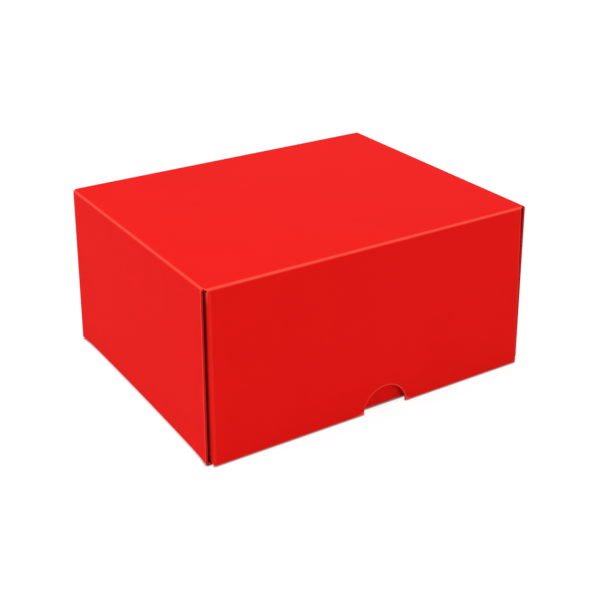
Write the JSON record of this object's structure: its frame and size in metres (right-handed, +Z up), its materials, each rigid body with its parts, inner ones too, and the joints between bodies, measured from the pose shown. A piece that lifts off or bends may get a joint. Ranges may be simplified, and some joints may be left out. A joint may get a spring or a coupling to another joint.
{
  "type": "telescoping cardboard box",
  "caption": "Rectangular red board carton: a full-depth lift-off lid with thumb notches over a tray with turned-in double end walls.",
  "frame": {"origin": "on the surface the box stands on, under the middle of the closed box", "axes": "+Z up, the way the lid lifts off; +X along the long walls; the front long wall faces -Y"},
  "size_m": [0.2548, 0.209, 0.1205],
  "materials": {
    "red_board": "satin",
    "red_board_inside": "matte"
  },
  "bodies": {
    "tray": {"tray_floor_panel": "red_board", "tray_front_wall": "red_board", "tray_back_wall": "red_board", "tray_left_outer_wall": "red_board", "tray_right_outer_wall": "red_board", "tray_left_rim": "red_board", "tray_right_rim": "red_board", "tray_front_left_tab": "red_board_inside", "tray_front_right_tab": "red_board_inside", "tray_back_left_tab": "red_board_inside", "tray_back_right_tab": "red_board_inside"},
    "lid": {"lid_top_panel": "red_board", "lid_front_wall": "red_board", "lid_back_wall": "red_board", "lid_left_outer_wall": "red_board", "lid_right_outer_wall": "red_board", "lid_left_rim": "red_board", "lid_right_rim": "red_board", "lid_left_inner_wall": "red_board_inside", "lid_right_inner_wall": "red_board_inside", "lid_front_left_tab": "red_board_inside", "lid_front_right_tab": "red_board_inside", "lid_back_left_tab": "red_board_inside", "lid_back_right_tab": "red_board_inside"},
    "tray_left_flap": {"tray_left_inner_wall": "red_board_inside"},
    "tray_right_flap": {"tray_right_inner_wall": "red_board_inside"}
  },
  "joints": [
    {"name": "lid_lift", "type": "slide", "parent": "tray", "child": "lid", "axis": [0, 0, 1], "range_m": [0, 0.125]},
    {"name": "left_flap_fold", "type": "hinge", "parent": "tray", "child": "tray_left_flap", "pos_m": [-0.11215, 0, 0.11795], "axis": [0, -1, 0], "range_deg": [0, 74]},
    {"name": "right_flap_fold", "type": "hinge", "parent": "tray", "child": "tray_right_flap", "pos_m": [0.11215, 0, 0.11795], "axis": [0, 1, 0], "range_deg": [0, 74]}
  ]
}
